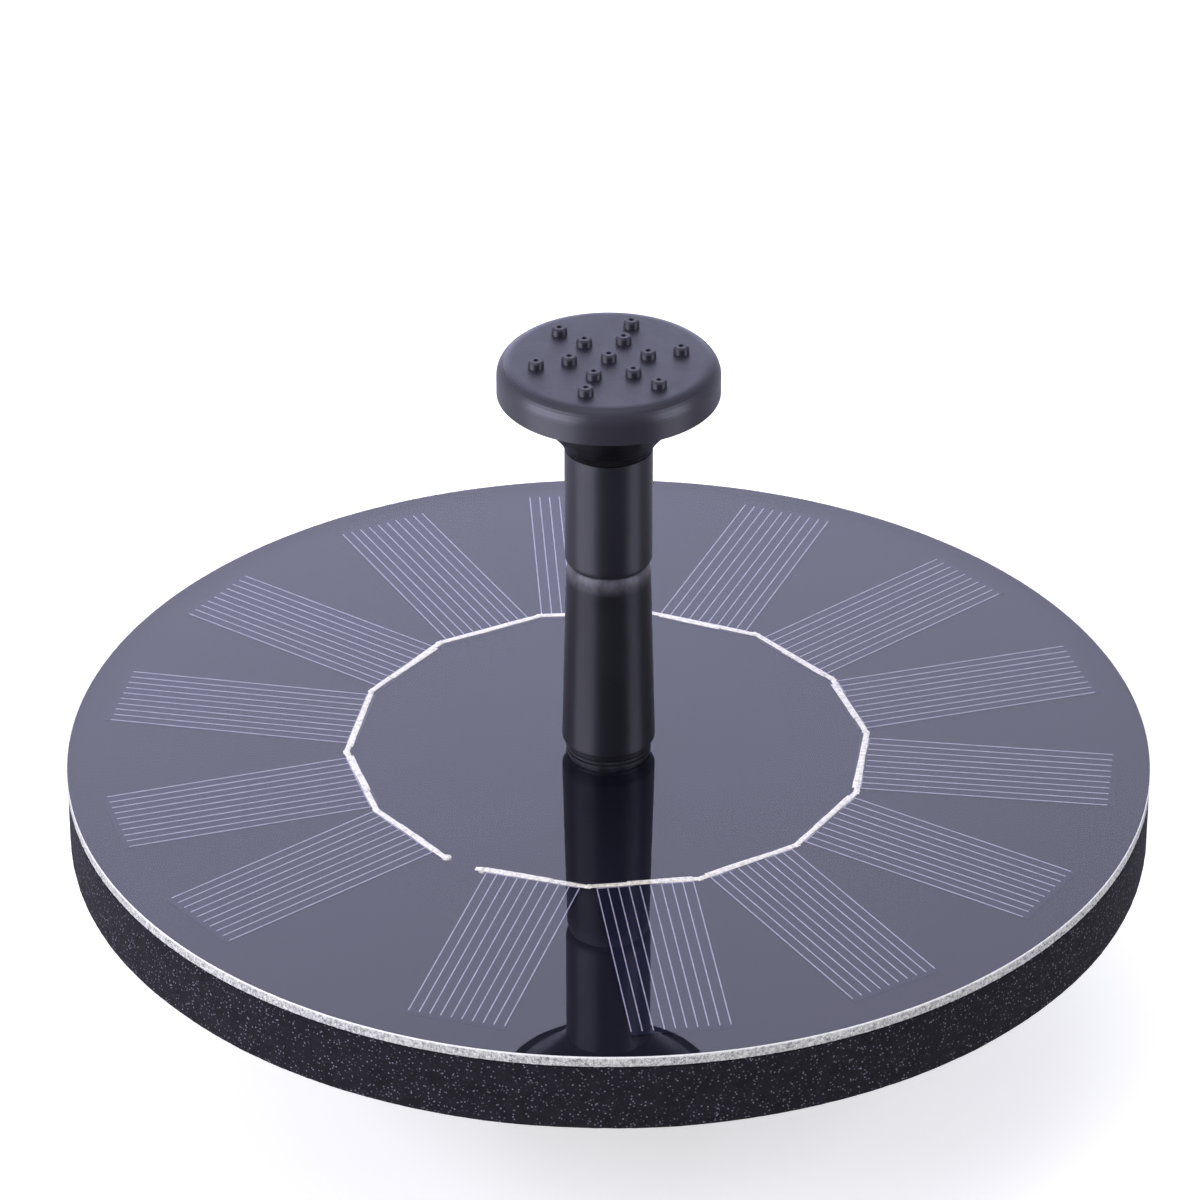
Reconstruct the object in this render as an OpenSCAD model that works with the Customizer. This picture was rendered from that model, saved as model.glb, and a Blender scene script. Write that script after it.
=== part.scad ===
// Floating solar fountain pump: a round panel of solar cells on a foam float,
// a small sealed pump under its middle, and a riser with a spray head above.
// Millimetres, +Z up. The origin is on the floor under the panel's centre, at
// the flat bottom of the pump. The rotor lies along Y, with the intake at -Y.

/* [Panel] */
// Diameter of the round panel
panel_d = 160; // [156:1:166]
// Height of the panel's top face above the pump's bottom
panel_top_z = 46; // [46:0.5:52]
// Thickness of the clear cover
cover_t = 0.8; // [0.7:0.1:1]
// Thickness of the board that carries the cells
board_t = 0.8; // [0.6:0.1:1.2]
// Diameter of the hole for the pump outlet
panel_hole_d = 12; // [11.6:0.1:12.2]

/* [Solar cells] */
// Angle between one cell and the next where they are evenly laid
cell_pitch = 25.05; // [24.8:0.05:25.2]
// Angle of the first cell
first_cell = -106; // [-106:1:-104]
// Width of one cell
cell_w = 14.4; // [13:0.1:14.6]
// Distance from the centre to a cell's inner end
cell_r = 36.8; // [36.8:0.1:37.4]
// Length of one cell
cell_l = 38.4; // [36:0.1:38.8]
// Offset of the cells and their ribbon from the panel's centre, along Y
array_y = 1.6; // [-1.6:0.1:1.6]
// Number of printed fingers on a cell
finger_count = 10; // [6:1:12]
// Distance between neighbouring fingers
finger_pitch = 1.55; // [1:0.01:1.55]
// Width of one printed finger
finger_w = 0.16; // [0.1:0.02:0.3]
// Width of the tinned ribbon that links the cells
ribbon_w = 1.1; // [1:0.1:1.5]

/* [Float] */
// Thickness of the foam float
foam_t = 10.55; // [6:0.05:11]
// Diameter of the float
foam_d = 160; // [150:0.5:160]
// Diameter of the hole in the float
foam_hole_d = 94; // [92:1:110]

/* [Pump] */
// Width of the pump body, along X
pump_w = 36; // [35:0.5:36]
// Height of the pump body
pump_h = 33; // [32.8:0.1:33.2]
// Back of the pump body, along Y
pump_back = 34; // [33:0.5:36]
// Radius of the impeller chamber
chamber_r = 10.5; // [10:0.1:10.5]
// Radius of the impeller
impeller_r = 9.3; // [8:0.1:9.5]
// Number of impeller blades
blade_count = 6; // [4:1:8]
// Radius of the ceramic shaft
shaft_r = 1.25; // [1:0.05:1.5]
// Number of stator teeth and coils
tooth_count = 6; // [6:3:6]

/* [Intake] */
// Depth of the intake strainer, along Y
strainer_d = 16.7; // [14:0.1:18]
// Wall of the strainer
strainer_t = 1.6; // [1.2:0.1:1.8]
// Width of one strainer slot
slot_w = 1.6; // [1:0.1:1.8]
// Number of slots across the strainer's front
slot_count = 9; // [5:2:9]

/* [Riser and spray head] */
// Height of the riser's shoulder above the panel, where the sleeve starts
riser_h = 32; // [28:0.5:40]
// Radius of the riser at its foot
riser_foot_r = 6.88; // [6.5:0.02:7.2]
// Radius of the riser at its top
riser_top_r = 6.2; // [6:0.05:6.4]
// Radius of the water way
water_r = 2.9; // [2:0.1:3]
// Radius of the sleeve
sleeve_r = 6.4; // [6.2:0.05:6.6]
// Length of the sleeve
sleeve_l = 18.7; // [18:0.1:24]
// Radius of the spray head
head_r = 16.1; // [15:0.1:18]
// Height of the spray head's cap
head_h = 5.1; // [4.6:0.1:7]
// Radius of the rounded top edge of the cap
head_fillet = 2.3; // [1:0.1:2.6]
// Height of the flared neck under the cap
neck_h = 8.9; // [8:0.1:12]
// Number of jets in each ring
jet_count = 6; // [4:1:7]
// Radius of the outer ring of jets
jet_outer_r = 10.6; // [9.8:0.1:11]
// Radius of the inner ring of jets
jet_inner_r = 5.7; // [4:0.1:6.2]
// Diameter of one jet's hole
jet_d = 0.8; // [0.5:0.1:1.2]

/* [Hidden] */
$fn = 96;
eps = 0.01;
over = 1;

// Heights through the panel and the float
cover_z = panel_top_z - cover_t;
board_z = cover_z - board_t;
recess_t = cover_t - 0.3;
recess_rim = 1.4;
recess_hole_r = 30;
cell_t = 0.2;
print_t = 0.04;
ribbon_t = 0.16;
print_z = cover_z + cell_t;
ribbon_z = print_z + print_t;
tape_t = 0.15;
foam_z = board_z - tape_t - foam_t;

// Cells are laid by hand: each one's error from an even spacing, in degrees, and
// how far it has slid sideways
cell_nudge = [-0.5, -1.5, -2, -2, -1.5, -3, -3.5, -1.5, -1, -1.5, 0, 0, 2.5, -0.5];
cell_slide = [0, 0.2, 0.3, 0.2, -0.3, 0.7, 0.7, -0.2, 1, 0.7, -0.4, -0.4, -0.8, -0.4];
cell_count = len(cell_nudge);
lead_gap = [12.5, 14.2];
ribbon_r = 38.6;

// Base plate and the pump's flange under it
plate_r = 44;
plate_t = 3.2;
plate_z = board_z - plate_t;
plate_lip = 1.5;
flange_r = 24;
flange_t = 2.8;
flange_z = plate_z - flange_t;
turret_r = 16;
screw_r = 1.25;
screw_ring_r = 21.4;
screw_angles = [-16.5, 16.5, 163.5, 196.5];
screw_depth = 2.5;
screw_head_r = 2.2;
screw_head_h = 1.6;

// Outlet, from the pump to the riser's socket
outlet_r = 5.2;
socket_r = 4.2;
socket_z = panel_top_z - 8;
running_gap = 0.05;
seal_r = 6.25;
seal_h = 1.15;

// Pump body
pump_front = -9;
corner_r = 4;
skid_t = 2;
skid_front = -27;
wall = 2;
cavity_z = 2.2;
cavity_h = pump_h - cavity_z - 1.6;
cavity_front = 7;
rotor_z = cavity_z + cavity_h / 2;
chamber_back = 5;
cover_seat_r = 12;
cover_seat_y = -6;
o_ring_t = 1.3;
well_r = 6.2;
well_end = 22.6;
can_r = 7.4;
can_end = 25.6;
bush_r = 3;
bush_end = 24.4;
spigot_l = 3.5;
spigot_gap = 0.25;
cover_face_t = 1.7;
nose_r = 6.2;
nose_bore_r = 5;
nose_l = 4;

// Motor
stator_y = 9;
stator_l = 10;
stator_r = 14.5;
stator_yoke = 2;
stator_bore_r = 7.6;
tooth_w = 3;
coil_w = 6.2;
coil_in_r = 8.8;
coil_out_r = 12;
coil_end = 1.6;
magnet_r = 5.6;
stem_r = 3;
driver_y = 21.2;
driver_t = 1.2;
driver_w = 30;
driver_h = 28.6;
potting_back = pump_back - 1;
lead_r = 0.65;
lead_drop = [-9, 10];
lead_z = board_z - 1.1;
lead_in_z = cavity_z + cavity_h - 0.9;
lead_hole_r = 1.9;

// Riser and spray head heights
riser_z = panel_top_z + 1.3;
shoulder_z = panel_top_z + riser_h;
riser_spigot_l = 10;
riser_spigot_r = 5;
sleeve_gap = 0.3;
sleeve_z = shoulder_z + sleeve_gap;
sleeve_top = sleeve_z + sleeve_l;
neck_z = sleeve_top + 0.2;
stem_l = 7.7;
stem_bore_r = 3.6;
cap_z = neck_z + neck_h;
cap_top = cap_z + head_h;
cap_wall = 1.6;
cap_bore_r = head_r - 1.75;
cap_skin = 1.6;
pip_r = 1.15;
pip_h = 1.1;

function cell_angle(i) = first_cell + i * cell_pitch + cell_nudge[i];
function polar(r, a) = [r * cos(a), r * sin(a)];

// A disc or tube about Z between two heights
module tube(r_out, r_in, z_low, z_high) {
    translate([0, 0, z_low])
        difference() {
            cylinder(r = r_out, h = z_high - z_low);
            translate([0, 0, -over])
                cylinder(r = r_in, h = z_high - z_low + 2 * over);
        }
}

// A solid cylinder along Y on the rotor axis
module y_rod(r, y_low, y_high) {
    translate([0, y_low, rotor_z])
        rotate([-90, 0, 0])
            cylinder(r = r, h = y_high - y_low);
}

module y_tube(r_out, r_in, y_low, y_high) {
    difference() {
        y_rod(r_out, y_low, y_high);
        y_rod(r_in, y_low - over, y_high + over);
    }
}

// A block centred on X with corners rounded about Z
module soft_block(w, y_low, y_high, z_low, h, r) {
    translate([0, 0, z_low])
        linear_extrude(h)
            union() {
                translate([-w / 2 + r, y_low])
                    square([w - 2 * r, y_high - y_low]);
                translate([-w / 2, y_low + r])
                    square([w, y_high - y_low - 2 * r]);
                for (x = [-w / 2 + r, w / 2 - r], y = [y_low + r, y_high - r])
                    translate([x, y])
                        circle(r = r);
            }
}

function unit(v) = v / norm(v);

// A route with each inner corner rounded to a short curve
function rounded_route(p, bend, steps) = [
    for (i = [0:len(p) - 1])
        for (k = [0:(i == 0 || i == len(p) - 1) ? 0 : steps])
            (i == 0 || i == len(p) - 1) ? p[i] :
            let (t = k / steps,
                 a = p[i] + bend * unit(p[i - 1] - p[i]),
                 b = p[i] + bend * unit(p[i + 1] - p[i]))
            (1 - t) * (1 - t) * a + 2 * t * (1 - t) * p[i] + t * t * b];

// A round wire of radius r swept along a route
module swept_wire(route, r, sides) {
    last = len(route) - 1;
    way = [for (i = [0:last])
        unit(route[min(i + 1, last)] - route[max(i - 1, 0)])];
    first = unit(cross(way[0], [0.6, 0.8, 0]));
    side = [for (i = 0, n = first; i <= last;
                 i = i + 1, n = i <= last ? unit(n - (n * way[i]) * way[i]) : n) n];
    rings = [for (i = [0:last])
        for (k = [0:sides - 1])
            route[i] + r * (cos(k * 360 / sides) * side[i]
                            + sin(k * 360 / sides) * cross(way[i], side[i]))];
    walls = [for (i = [0:last - 1])
        for (k = [0:sides - 1])
            let (m = (k + 1) % sides)
            [i * sides + k, (i + 1) * sides + k, (i + 1) * sides + m, i * sides + m]];
    caps = [[for (k = [0:sides - 1]) k],
            [for (k = [sides - 1:-1:0]) last * sides + k]];
    polyhedron(points = rings, faces = concat(walls, caps));
}

// ---- Panel ----

// Clear cover with a shallow recess over the cells
module panel_cover() {
    hole_r = panel_hole_d / 2;
    rim_r = panel_d / 2 - recess_rim;
    color([0.55, 0.56, 0.68, 0.35])
        rotate_extrude()
            polygon([[hole_r, cover_z], [recess_hole_r, cover_z],
                     [recess_hole_r, cover_z + recess_t], [rim_r, cover_z + recess_t],
                     [rim_r, cover_z], [panel_d / 2, cover_z],
                     [panel_d / 2, panel_top_z], [hole_r, panel_top_z]]);
}

// The two ends of the ribbon, where the leads go down through the board
lead_angles = [cell_angle(cell_count - 1) + lead_gap[1] - 0.7 - 360,
               cell_angle(0) - lead_gap[0] + 0.9];
lead_starts = [for (a = lead_angles) polar(ribbon_r - 0.2, a) + [0, array_y]];

module panel_board() {
    color([0.16, 0.16, 0.22])
        difference() {
            tube(panel_d / 2, panel_hole_d / 2, board_z, cover_z);
            for (p = lead_starts)
                translate([p[0], p[1], board_z - over])
                    cylinder(r = lead_r + 0.1, h = board_t + 2 * over, $fn = 32);
        }
}

// Places something along the line of cell i
module on_cell(i) {
    translate([0, array_y, 0])
        rotate(cell_angle(i))
            translate([0, cell_slide[i], 0])
                children();
}

module solar_cells() {
    color([0.12, 0.12, 0.22])
        for (i = [0:cell_count - 1])
            on_cell(i)
                translate([cell_r, -cell_w / 2, cover_z])
                    cube([cell_l, cell_w, cell_t]);
}

// Silver print on each cell: a bar under the ribbon and the fingers from it
module cell_fingers() {
    bar_w = 1.4;
    finger_l = cell_l - 0.9;
    span = (finger_count - 1) * finger_pitch;
    color([0.62, 0.6, 0.74])
        for (i = [0:cell_count - 1])
            on_cell(i)
                translate([cell_r + 0.1, 0, print_z])
                    union() {
                        translate([0, -span / 2 - finger_w / 2, 0])
                            cube([bar_w, span + finger_w, print_t]);
                        for (j = [0:finger_count - 1])
                            translate([0, j * finger_pitch - span / 2 - finger_w / 2, 0])
                                cube([finger_l, finger_w, print_t]);
                    }
}

// Ribbon corners lie midway between neighbouring cells
function corner_angle(i) =
    i == 0 ? cell_angle(0) - lead_gap[0] :
    i == cell_count ? cell_angle(cell_count - 1) + lead_gap[1] :
    (cell_angle(i - 1) + cell_angle(i)) / 2;
function corner_r(i) = ribbon_r + 0.35 * sin(i * 97);

module busbar_ribbon() {
    lap = 0.7;
    color([0.9, 0.89, 0.84])
        union()
            for (i = [0:cell_count - 1]) {
                a = polar(corner_r(i), corner_angle(i));
                b = polar(corner_r(i + 1), corner_angle(i + 1));
                d = b - a;
                w = ribbon_w + 0.12 * sin(i * 140);
                translate([a[0], a[1] + array_y, ribbon_z])
                    rotate(atan2(d[1], d[0]) + 0.8 * sin(i * 75))
                        translate([-lap, -w / 2, 0])
                            cube([norm(d) + 2 * lap, w, ribbon_t]);
            }
}

// ---- Float ----

module foam_float() {
    color([0.14, 0.13, 0.15])
        tube(foam_d / 2, foam_hole_d / 2, foam_z, foam_z + foam_t);
}

module float_tape() {
    inset = 0.6;
    color([0.85, 0.84, 0.8])
        tube(foam_d / 2 - inset, foam_hole_d / 2 + inset, foam_z + foam_t, board_z);
}

// ---- Base plate and outlet ----

// Channel in the base plate that holds the two leads
module lead_channel() {
    side = 1.2;
    translate([0, 0, lead_z - lead_r - 0.2])
        linear_extrude(plate_t)
            polygon([lead_starts[0] + [-side, -side], lead_starts[1] + [side, -side],
                     lead_drop + [lead_hole_r, 0], lead_drop + [lead_hole_r, lead_hole_r],
                     lead_drop + [-lead_hole_r, lead_hole_r], lead_drop + [-lead_hole_r, 0]]);
}

module base_plate() {
    rib_w = 1.4;
    rib_in = flange_r + 0.8;
    rib_count = 12;
    color([0.1, 0.1, 0.11])
        difference() {
            union() {
                tube(plate_r, outlet_r + 0.1, plate_z, board_z);
                tube(plate_r, plate_r - 2, plate_z - plate_lip, plate_z + eps);
                for (k = [0:rib_count - 1])
                    rotate(k * 360 / rib_count)
                        translate([rib_in, -rib_w / 2, plate_z - plate_lip])
                            cube([plate_r - 1 - rib_in, rib_w, plate_lip + eps]);
            }
            lead_channel();
            translate([lead_drop[0], lead_drop[1], plate_z - over])
                cylinder(r = lead_hole_r, h = plate_t + 2 * over);
            for (a = screw_angles)
                rotate(a)
                    translate([screw_ring_r, 0, plate_z - over])
                        cylinder(r = screw_r, h = screw_depth + over);
        }
}

// Soft ring round the outlet, with a groove between two lips
module outlet_seal() {
    lip_t = 0.42;
    groove_r = seal_r - 0.35;
    hole_r = panel_hole_d / 2;
    top_z = panel_top_z + seal_h;
    color([0.08, 0.08, 0.09])
        rotate_extrude()
            polygon([[outlet_r, board_z], [hole_r, board_z], [hole_r, panel_top_z],
                     [seal_r, panel_top_z], [seal_r, panel_top_z + lip_t],
                     [groove_r, panel_top_z + lip_t], [groove_r, top_z - lip_t],
                     [seal_r, top_z - lip_t], [seal_r, top_z],
                     [socket_r + 0.3, top_z], [socket_r + 0.3, panel_top_z],
                     [outlet_r, panel_top_z]]);
}

// ---- Riser and spray head ----

module riser_tube() {
    foot_bevel = 1.3;
    shoulder_w = 0.6;
    shoulder_l = 1.8;
    steps = 6;
    shoulder = [for (k = [0:steps])
        [riser_top_r - shoulder_w * (1 - cos(k * 90 / steps)),
         shoulder_z - shoulder_l * (1 - sin(k * 90 / steps))]];
    spigot_r = socket_r - running_gap;
    spigot_low = socket_z + 0.4;
    spigot_top = shoulder_z + riser_spigot_l;
    color([0.17, 0.17, 0.2])
        rotate_extrude()
            polygon(concat(
                [[water_r, spigot_low], [spigot_r, spigot_low], [spigot_r, riser_z],
                 [seal_r, riser_z], [riser_foot_r, riser_z + foot_bevel]],
                shoulder,
                [[riser_spigot_r, shoulder_z], [riser_spigot_r, spigot_top],
                 [water_r, spigot_top]]));
}

module head_sleeve() {
    edge_r = 0.9;
    steps = 6;
    bore = riser_spigot_r + running_gap;
    lower_edge = [for (k = [0:steps])
        [sleeve_r - edge_r + edge_r * sin(k * 90 / steps),
         sleeve_z + edge_r - edge_r * cos(k * 90 / steps)]];
    color([0.19, 0.19, 0.23])
        rotate_extrude()
            polygon(concat([[bore, sleeve_z]], lower_edge,
                           [[sleeve_r, sleeve_top], [bore, sleeve_top]]));
}

// Funnel: a stem in the sleeve, a flared neck and a rim that closes the cap
module spray_head_body() {
    steps = 8;
    flare = 1.35;
    skin = 1.3;
    rim_r = cap_bore_r - 0.05;
    flare_h = neck_h - 0.5;
    rim_top = cap_z + 0.9;
    outside = [for (k = [0:steps])
        [sleeve_r + (rim_r - sleeve_r) * pow(k / steps, flare),
         neck_z + flare_h * k / steps]];
    inside = [for (k = [steps:-1:1])
        [stem_bore_r + (rim_r - skin - stem_bore_r) * pow(k / steps, flare),
         neck_z + skin + flare_h * k / steps]];
    color([0.09, 0.09, 0.1])
        rotate_extrude()
            polygon(concat([[stem_bore_r, neck_z - stem_l],
                            [riser_spigot_r, neck_z - stem_l],
                            [riser_spigot_r, neck_z]],
                           outside, [[rim_r, rim_top], [rim_r - skin, rim_top]],
                           inside, [[stem_bore_r, neck_z + skin]]));
}

// Places of the jets: one in the middle and two rings
jets = concat([[0, 0]],
              [for (k = [0:jet_count - 1]) polar(jet_inner_r, 8 + k * 360 / jet_count)],
              [for (k = [0:jet_count - 1]) polar(jet_outer_r, 12 + k * 360 / jet_count)]);

module jet_pip() {
    bevel = 0.25;
    rotate_extrude($fn = 48)
        polygon([[0, -bevel], [pip_r, -bevel], [pip_r, pip_h - bevel],
                 [pip_r - bevel, pip_h], [0, pip_h]]);
}

module spray_head_cap() {
    steps = 8;
    top_edge = [for (k = [0:steps])
        [head_r - head_fillet + head_fillet * cos(k * 90 / steps),
         cap_top - head_fillet + head_fillet * sin(k * 90 / steps)]];
    skin_z = cap_top - cap_skin;
    color([0.27, 0.26, 0.31])
        difference() {
            union() {
                rotate_extrude()
                    polygon(concat([[cap_bore_r, cap_z], [head_r, cap_z]], top_edge,
                                   [[0, cap_top], [0, skin_z], [cap_bore_r, skin_z]]));
                for (p = jets)
                    translate([p[0], p[1], cap_top])
                        jet_pip();
            }
            for (p = jets)
                translate([p[0], p[1], skin_z - over])
                    cylinder(d = jet_d, h = cap_skin + pip_h + 2 * over, $fn = 24);
        }
}

// ---- Pump ----

// The strainer's place, and the spigot on the housing that it pushes onto
strainer_back = pump_front - 0.3;
strainer_front = strainer_back - strainer_d;
strainer_z = skid_t + 0.3;
strainer_h = pump_h - 0.4 - strainer_z;
inner_front = strainer_front + strainer_t;
spigot_w = pump_w - 2 * (strainer_t + spigot_gap);
spigot_z = strainer_z + strainer_t + spigot_gap;
spigot_h = strainer_h - 2 * (strainer_t + spigot_gap);

// The chamber, rotor well, outlet and dry motor bay, cut from the housing
module housing_cuts() {
    y_rod(chamber_r, cover_seat_y - over, chamber_back);
    y_rod(cover_seat_r, pump_front - spigot_l - over, cover_seat_y);
    y_rod(well_r, chamber_back - over, well_end);
    y_rod(bush_r, well_end - over, bush_end);
    translate([0, 0, rotor_z])
        cylinder(r = water_r, h = socket_z - rotor_z + over);
    translate([0, 0, socket_z])
        cylinder(r = socket_r, h = panel_top_z - socket_z + over);
    difference() {
        translate([-pump_w / 2 + wall, cavity_front, cavity_z])
            cube([pump_w - 2 * wall, pump_back - cavity_front + over, cavity_h]);
        y_rod(can_r, cavity_front - over, can_end);
    }
    translate([lead_drop[0], lead_drop[1], cavity_z + cavity_h - over])
        cylinder(r = lead_hole_r, h = plate_z);
    for (a = screw_angles)
        rotate(a)
            translate([screw_ring_r, 0, flange_z - over])
                cylinder(r = screw_r + 0.15, h = flange_t + 2 * over);
}

module pump_housing() {
    color([0.11, 0.11, 0.12])
        difference() {
            union() {
                soft_block(pump_w, pump_front - corner_r, pump_back, skid_t / 2,
                           pump_h - skid_t / 2, corner_r);
                soft_block(pump_w, skid_front, pump_back, 0, skid_t, corner_r);
                translate([0, 0, pump_h - eps])
                    cylinder(r = turret_r, h = flange_z - pump_h + 2 * eps);
                translate([0, 0, flange_z])
                    cylinder(r = flange_r, h = flange_t);
                translate([0, 0, flange_z])
                    cylinder(r = outlet_r, h = panel_top_z - flange_z);
            }
            housing_cuts();
            difference() {
                translate([-pump_w / 2 - over, pump_front - corner_r - over, skid_t])
                    cube([pump_w + 2 * over, corner_r + over, pump_h - skid_t - 2 * eps]);
                translate([-spigot_w / 2, pump_front - spigot_l, spigot_z])
                    cube([spigot_w, spigot_l + 2 * over, spigot_h]);
            }
        }
}

// Front plate of the chamber, with a spoked eye that holds the front bush
module impeller_cover() {
    eye_r = bush_r + 1;
    spoke_w = 1.2;
    face_y = pump_front + cover_face_t;
    color([0.15, 0.15, 0.17])
        difference() {
            union() {
                y_tube(cover_seat_r - 0.1, nose_bore_r, pump_front, face_y);
                y_tube(nose_r, nose_bore_r, pump_front - nose_l, pump_front + eps);
                y_rod(eye_r, pump_front, face_y);
                for (k = [0:2])
                    translate([0, pump_front, rotor_z])
                        rotate([0, k * 120, 0])
                            translate([-spoke_w / 2, 0, 0])
                                cube([spoke_w, cover_face_t, nose_bore_r + 0.5]);
            }
            y_rod(bush_r, pump_front - over, face_y + over);
        }
}

module cover_o_ring() {
    section_r = o_ring_t / 2;
    color([0.05, 0.05, 0.05])
        translate([0, cover_seat_y - section_r, rotor_z])
            rotate([-90, 0, 0])
                rotate_extrude()
                    translate([(chamber_r + cover_seat_r) / 2, 0])
                        circle(r = section_r, $fn = 24);
}

// ---- Motor ----

module stator_core() {
    color([0.5, 0.51, 0.54])
        union() {
            y_tube(stator_r, stator_r - stator_yoke, stator_y, stator_y + stator_l);
            for (k = [0:tooth_count - 1])
                translate([0, stator_y, rotor_z])
                    rotate([0, k * 360 / tooth_count, 0])
                        translate([-tooth_w / 2, 0, stator_bore_r + 0.2])
                            cube([tooth_w, stator_l, stator_r - stator_yoke / 2 - stator_bore_r]);
        }
}

module stator_coils() {
    color([0.72, 0.38, 0.16])
        for (k = [0:tooth_count - 1])
            translate([0, stator_y, rotor_z])
                rotate([0, k * 360 / tooth_count, 0])
                    difference() {
                        translate([-coil_w / 2, -coil_end, coil_in_r])
                            cube([coil_w, stator_l + 2 * coil_end, coil_out_r - coil_in_r]);
                        translate([-tooth_w / 2, 0, 0])
                            cube([tooth_w, stator_l, stator_r]);
                    }
}

module driver_board() {
    color([0.1, 0.35, 0.18])
        difference() {
            translate([-driver_w / 2, driver_y, rotor_z - driver_h / 2])
                cube([driver_w, driver_t, driver_h]);
            y_rod(can_r + 0.2, driver_y - over, driver_y + driver_t + over);
        }
}

// A chip, two capacitors and four small parts on the driver board's back
module driver_components() {
    y = driver_y + driver_t;
    color([0.06, 0.06, 0.07]) {
        translate([8.5, y, rotor_z + 5])
            cube([5, 1.2, 5]);
        for (x = [-10.5, -5.5])
            translate([x, y, rotor_z - 10.4])
                rotate([-90, 0, 0])
                    cylinder(r = 2, h = 5);
        for (k = [0:3])
            translate([-12.5 + 3.2 * k, y, rotor_z + 10.6])
                cube([1.6, 0.8, 2.4]);
    }
}

module potting_compound() {
    y = driver_y + driver_t;
    color([0.07, 0.07, 0.08])
        difference() {
            translate([-pump_w / 2 + wall, y, cavity_z])
                cube([pump_w - 2 * wall, potting_back - y, cavity_h]);
            y_rod(can_r, y - over, can_end);
            driver_components();
        }
}

module rotor_magnet() {
    color([0.3, 0.3, 0.32])
        y_tube(magnet_r, stem_r, chamber_back + 0.6, well_end - 1.1);
}

// Open impeller with straight blades and the stem that carries the magnet
module impeller() {
    blade_t = 1;
    hub_r = 3.2;
    front_y = cover_seat_y + 1;
    disc_y = 2.6;
    disc_t = 1.3;
    color([0.75, 0.76, 0.78])
        difference() {
            union() {
                y_rod(impeller_r, disc_y, disc_y + disc_t);
                y_rod(hub_r, front_y, disc_y + eps);
                y_rod(stem_r, disc_y, well_end - 0.8);
                for (k = [0:blade_count - 1])
                    translate([0, front_y + 0.4, rotor_z])
                        rotate([0, k * 360 / blade_count, 0])
                            translate([-blade_t / 2, 0, hub_r / 2])
                                cube([blade_t, disc_y - front_y, impeller_r - hub_r / 2 - 0.2]);
            }
            y_rod(shaft_r + running_gap, front_y - over, well_end);
        }
}

module rotor_shaft() {
    color([0.93, 0.92, 0.88])
        y_rod(shaft_r, pump_front, bush_end);
}

module shaft_bushes() {
    color([0.12, 0.12, 0.12]) {
        y_tube(bush_r, shaft_r, pump_front, cover_seat_y + 0.5);
        y_tube(bush_r, shaft_r, well_end - 0.4, bush_end);
    }
}

// ---- Wiring ----

// Each lead drops through the board, runs in the channel and enters the motor bay
function lead_points(k) = [
    [lead_starts[k][0], lead_starts[k][1], ribbon_z],
    [lead_starts[k][0], lead_starts[k][1], lead_z],
    [lead_drop[0] + (k - 0.5) * 1.8, lead_drop[1], lead_z],
    [lead_drop[0] + (k - 0.5) * 1.8, lead_drop[1], lead_in_z],
    [lead_drop[0] + (k - 0.5) * 1.8, driver_y, lead_in_z]];

module panel_lead(k) {
    bend = 1.4;
    bend_steps = 4;
    swept_wire(rounded_route(lead_points(k), bend, bend_steps), lead_r, 8);
}

module panel_leads() {
    color([0.7, 0.08, 0.06])
        panel_lead(0);
    color([0.05, 0.05, 0.05])
        panel_lead(1);
}

module solder_joints() {
    joint_r = 1.2;
    joint_t = 0.7;
    color([0.78, 0.79, 0.8])
        for (k = [0:1]) {
            p = lead_points(k)[4];
            translate([p[0], driver_y - joint_t, p[2]])
                rotate([-90, 0, 0])
                    difference() {
                        cylinder(r = min(joint_r, 0.85), h = joint_t, $fn = 32);
                        translate([0, 0, -over])
                            cylinder(r = lead_r, h = joint_t + 2 * over, $fn = 32);
                    }
        }
}

// ---- Intake ----

module strainer_cover() {
    slot_h = 22;
    slot_pitch = 3.2;
    side_slots = 3;
    inner_w = pump_w - 2 * strainer_t;
    slot_low = strainer_z + (strainer_h - slot_h) / 2;
    color([0.1, 0.1, 0.11])
        difference() {
            soft_block(pump_w, strainer_front, strainer_back + corner_r,
                       strainer_z, strainer_h, corner_r);
            translate([-pump_w / 2 - over, strainer_back, 0])
                cube([pump_w + 2 * over, corner_r + over, pump_h + over]);
            translate([-inner_w / 2, inner_front, strainer_z + strainer_t])
                cube([inner_w, strainer_d, strainer_h - 2 * strainer_t]);
            for (k = [0:slot_count - 1])
                translate([(k - (slot_count - 1) / 2) * slot_pitch - slot_w / 2,
                           strainer_front - over, slot_low])
                    cube([slot_w, strainer_t + 2 * over, slot_h]);
            for (k = [0:side_slots - 1])
                translate([-pump_w / 2 - over, inner_front + 2.6 + k * slot_pitch, slot_low])
                    cube([pump_w + 2 * over, slot_w, slot_h]);
        }
}

module sponge_filter() {
    sponge_back = pump_front - spigot_l - nose_l / 2;
    inner_w = pump_w - 2 * strainer_t - 0.2;
    color([0.16, 0.17, 0.2])
        translate([-inner_w / 2, inner_front, strainer_z + strainer_t + 0.1])
            cube([inner_w, sponge_back - inner_front, strainer_h - 2 * strainer_t - 0.2]);
}

// ---- Fasteners ----

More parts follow.
